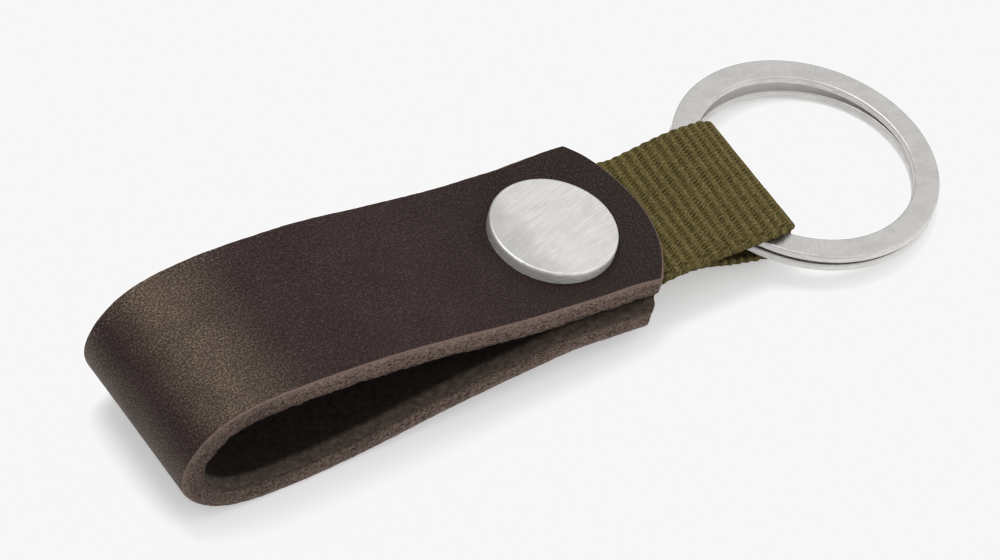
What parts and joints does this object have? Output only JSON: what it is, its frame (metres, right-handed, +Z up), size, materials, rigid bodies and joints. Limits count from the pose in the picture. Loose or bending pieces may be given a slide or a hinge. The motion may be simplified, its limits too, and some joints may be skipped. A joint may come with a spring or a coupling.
{
  "type": "leather key fob with split ring",
  "caption": "Folded leather strap loop clamped by a flat disc screw post, with a short webbing loop that carries a flat-wire split key ring.",
  "frame": {"origin": "centre of the front disc's face, on the axis of the screw post", "axes": "+X from the leather loop towards the ring, +Y across the fob, +Z up with the fob lying on a table 11.84 mm below the origin; the post leans 6.7 degrees from +Z towards +X"},
  "size_m": [0.107, 0.0318, 0.0175],
  "materials": {
    "leather": "oiled dark brown, raw fibrous edges",
    "webbing": "ribbed olive webbing",
    "disc_steel": "straight brushed face",
    "screw_steel": "satin",
    "ring_steel": "radially brushed faces, bright edges"
  },
  "bodies": {
    "fob": {"leather_strap": "leather", "disc_post": "disc_steel", "rear_screw": "screw_steel"},
    "clamped_webbing": {"webbing_tail": "webbing"},
    "free_webbing": {"webbing_loop": "webbing"},
    "ring": {"split_ring": "ring_steel"}
  },
  "joints": [
    {"name": "webbing_pivot", "type": "hinge", "parent": "fob", "child": "clamped_webbing", "pos_m": [-0.00057, 0, -0.00487], "axis": [0.1167, 0, 0.9932], "range_deg": [-6, 6]},
    {"name": "webbing_flex", "type": "hinge", "parent": "clamped_webbing", "child": "free_webbing", "pos_m": [0.01254, 0, -0.00641], "axis": [0, 1, 0], "range_deg": [-70, 70]},
    {"name": "ring_turn", "type": "hinge", "parent": "free_webbing", "child": "ring", "pos_m": [0.03621, 0.0008, -0.00775], "axis": [0.1352, 0, 0.9908], "continuous": true}
  ]
}
